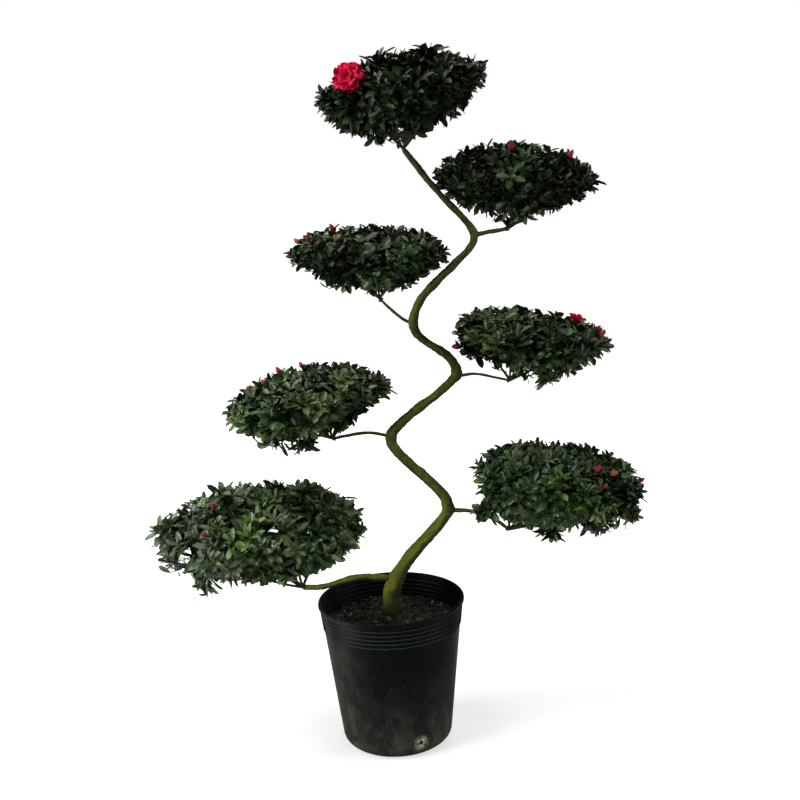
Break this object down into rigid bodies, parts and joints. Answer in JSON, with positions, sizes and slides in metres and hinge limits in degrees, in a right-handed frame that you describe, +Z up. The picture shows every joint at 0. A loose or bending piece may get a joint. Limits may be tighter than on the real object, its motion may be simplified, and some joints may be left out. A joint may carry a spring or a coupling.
{
  "type": "cloud-trained azalea in a nursery pot",
  "caption": "Azalea trained as a cloud tree: rounded foliage pads set left and right on a winding zigzag trunk, growing in a round black plastic nursery pot of soil.",
  "frame": {"origin": "centre of the pot's flat underside, on the ground", "axes": "+Z up, along the pot's axis and the plant's height; +X to the viewer's right, from the lowest pad on the left towards the pads on the right; -Y towards the viewer"},
  "size_m": [1.0153, 0.3939, 1.4152],
  "materials": {
    "pot_plastic": "satin black plastic, dusty and scuffed",
    "soil": "moist crumbly potting soil",
    "bark": "olive-brown bark with moss",
    "foliage": "dark green leaves, lightly glossy"
  },
  "bodies": {
    "root": {"pot": "pot_plastic", "soil": "soil", "trunk": "bark", "bough_1_low_left": "bark", "bough_2_low_right": "bark", "bough_3_mid_left": "bark", "bough_4_mid_right": "bark", "bough_5_upper_left": "bark", "bough_6_upper_right": "bark", "pad_1_low_left": "foliage", "pad_2_low_right": "foliage", "pad_3_mid_left": "foliage", "pad_4_mid_right": "foliage", "pad_5_upper_left": "foliage", "pad_6_upper_right": "foliage", "pad_7_top": "foliage"}
  },
  "joints": []
}
